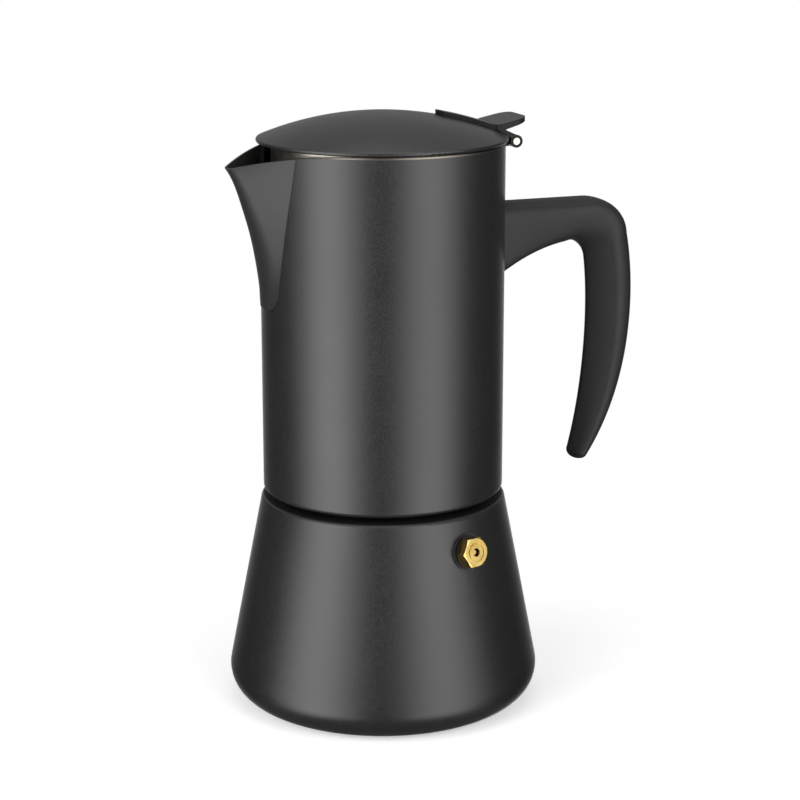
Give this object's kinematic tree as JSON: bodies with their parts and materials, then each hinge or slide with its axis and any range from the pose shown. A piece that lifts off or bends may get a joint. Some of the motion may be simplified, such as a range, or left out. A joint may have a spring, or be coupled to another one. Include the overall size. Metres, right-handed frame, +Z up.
{
  "type": "moka pot",
  "caption": "Stove-top moka pot: a tapering boiler with a safety valve, a screw-on jug with a pouring spout and side handle, a funnel inside and a hinged domed lid with a thumb lever",
  "frame": {"origin": "centre of the boiler's flat underside, on the pot's axis, where it rests on the stove", "axes": "+Z up along the pot's axis, +X towards the handle and the lid hinge, -X towards the spout, +Y away from the side that carries the safety valve"},
  "size_m": [0.1446, 0.1068, 0.2028],
  "materials": {
    "coated_steel": "satin black coating on steel sheet",
    "bare_steel": "bare stainless steel, brushed",
    "valve_brass": "turned brass",
    "seal_rubber": "pale silicone rubber",
    "handle_plastic": "moulded black plastic with a fine matt grain"
  },
  "bodies": {
    "base": {"boiler_shell": "coated_steel", "boiler_collar": "bare_steel", "valve_body": "valve_brass", "valve_washer": "bare_steel", "valve_gasket": "seal_rubber", "valve_nut": "valve_brass", "valve_seat": "valve_brass", "valve_spring": "bare_steel"},
    "poppet": {"valve_poppet": "valve_brass"},
    "funnel": {"funnel_basket": "bare_steel", "funnel_stem": "bare_steel", "funnel_sieve": "bare_steel"},
    "seal": {"seal_gasket": "seal_rubber", "filter_plate": "bare_steel"},
    "jug": {"jug_shell": "coated_steel", "jug_spout": "coated_steel", "jug_floor": "bare_steel", "jug_collar": "bare_steel", "riser_tube": "bare_steel", "riser_cap": "bare_steel", "handle": "handle_plastic", "handle_bracket": "bare_steel", "handle_screw": "bare_steel", "hinge_bracket": "coated_steel", "hinge_pin": "bare_steel"},
    "lid": {"lid_shell": "coated_steel", "lid_skirt": "bare_steel", "lid_lever": "coated_steel"}
  },
  "joints": [
    {"name": "funnel_lift", "type": "slide", "parent": "base", "child": "funnel", "axis": [0, 0, 1], "range_m": [0, 0.085]},
    {"name": "jug_lift", "type": "slide", "parent": "funnel", "child": "seal", "axis": [0, 0, 1], "range_m": [0, 0.009]},
    {"name": "jug_turn", "type": "hinge", "parent": "seal", "child": "jug", "pos_m": [0, 0, 0.0745], "axis": [0, 0, 1], "range_deg": [0, 1080]},
    {"name": "lid_hinge", "type": "hinge", "parent": "jug", "child": "lid", "pos_m": [0.0444, 0, 0.1921], "axis": [0, 1, 0], "range_deg": [0, 105]},
    {"name": "valve_lift", "type": "slide", "parent": "base", "child": "poppet", "axis": [0.3357, -0.9222, 0.192], "range_m": [0, 0.0012], "stiffness_N_per_m": 1000, "deforming": ["valve_spring"]}
  ],
  "couplings": [
    {"joint": "jug_lift", "follows": "jug_turn", "m_per_rad": 0.00047746}
  ]
}
